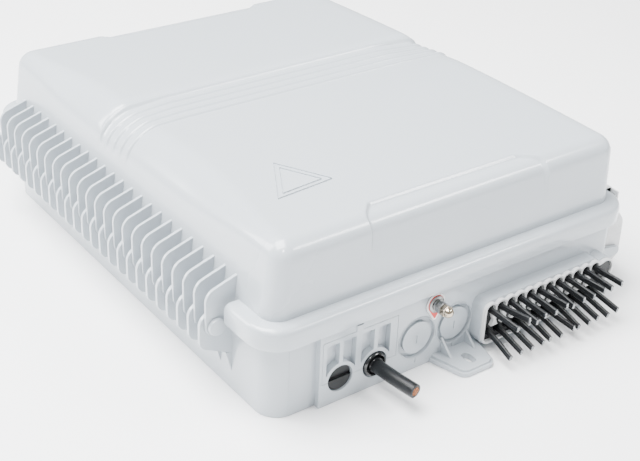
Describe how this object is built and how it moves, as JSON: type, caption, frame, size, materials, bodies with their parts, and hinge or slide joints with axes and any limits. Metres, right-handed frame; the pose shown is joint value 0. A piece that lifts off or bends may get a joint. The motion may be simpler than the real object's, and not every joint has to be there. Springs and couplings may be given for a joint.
{
  "type": "fiber termination box",
  "caption": "Wall-mounted fiber distribution box with a finned hinge, domed lid, side latches, feeder cable port and two rows of drop cable outlets.",
  "frame": {"origin": "middle of the bottom of the box's overall size, on the back face that goes against the wall, without the free cables", "axes": "+Z from the wall to the lid, +Y along the lid's hinge away from the cable ports, +X from the hinge to the latches"},
  "size_m": [0.339, 0.4394, 0.1236],
  "materials": {
    "case": "satin, light grey",
    "latch": "satin, off-white",
    "rubber": "moulded black",
    "jacket": "extruded black",
    "steel": "zinc plated",
    "nickel": "bright nickel",
    "tag": "red with a white edge",
    "sheet": "powder coat",
    "adapter": "green",
    "tray": "light grey",
    "module": "dark grey"
  },
  "bodies": {
    "base": {"base_shell": "case", "hinge_pin": "case", "cable_entry_clamp": "case", "drop_port_frame": "case", "drop_port_divider": "latch", "lid_gasket": "rubber", "feeder_grommet": "rubber", "blank_plug": "rubber", "drop_port_seal": "rubber", "feeder_cable": "jacket", "drop_cable_upper_01": "jacket", "drop_cable_upper_02": "jacket", "drop_cable_upper_03": "jacket", "drop_cable_upper_04": "jacket", "drop_cable_upper_05": "jacket", "drop_cable_upper_06": "jacket", "drop_cable_upper_07": "jacket", "drop_cable_upper_08": "jacket", "drop_cable_upper_09": "jacket", "drop_cable_upper_10": "jacket", "drop_cable_upper_11": "jacket", "drop_cable_upper_12": "jacket", "drop_cable_lower_01": "jacket", "drop_cable_lower_02": "jacket", "drop_cable_lower_03": "jacket", "drop_cable_lower_04": "jacket", "drop_cable_lower_05": "jacket", "drop_cable_lower_06": "jacket", "drop_cable_lower_07": "jacket", "drop_cable_lower_08": "jacket", "drop_cable_lower_09": "jacket", "drop_cable_lower_10": "jacket", "drop_cable_lower_11": "jacket", "drop_cable_lower_12": "jacket", "ground_stud": "steel", "ground_flat_washer": "steel", "ground_spring_washer": "steel", "ground_hex_nut": "steel", "latch_pin_front": "steel", "latch_pin_rear": "steel", "panel_pin": "steel", "feeder_clamp": "steel", "clamp_screw_left": "steel", "clamp_screw_right": "steel", "plate_screw_1": "steel", "plate_screw_2": "steel", "plate_screw_3": "steel", "plate_screw_4": "steel", "ground_dome_nut": "nickel", "ground_tag": "tag", "mounting_plate": "sheet", "splice_tray": "tray", "splitter_module": "module"},
    "lid": {"lid_shell": "case"},
    "latch_front": {"latch_front": "latch"},
    "latch_rear": {"latch_rear": "latch"},
    "adapter_panel": {"adapter_panel": "sheet", "adapter_row_lower": "adapter", "adapter_row_upper": "adapter"},
    "tray_cover": {"tray_cover": "tray"}
  },
  "joints": [
    {"name": "lid_hinge", "type": "hinge", "parent": "base", "child": "lid", "pos_m": [-0.1594, 0, 0.0554], "axis": [0, -1, 0], "range_deg": [0, 110]},
    {"name": "latch_front_pivot", "type": "hinge", "parent": "base", "child": "latch_front", "pos_m": [0.1625, -0.163, 0.024], "axis": [0, 1, 0], "range_deg": [0, 90]},
    {"name": "latch_rear_pivot", "type": "hinge", "parent": "base", "child": "latch_rear", "pos_m": [0.1625, 0.163, 0.024], "axis": [0, 1, 0], "range_deg": [0, 90]},
    {"name": "adapter_panel_hinge", "type": "hinge", "parent": "base", "child": "adapter_panel", "pos_m": [0, 0.03, 0.036], "axis": [-1, 0, 0], "range_deg": [0, 80]},
    {"name": "tray_cover_hinge", "type": "hinge", "parent": "base", "child": "tray_cover", "pos_m": [-0.045, 0.1595, 0.0272], "axis": [-1, 0, 0], "range_deg": [0, 80]}
  ]
}
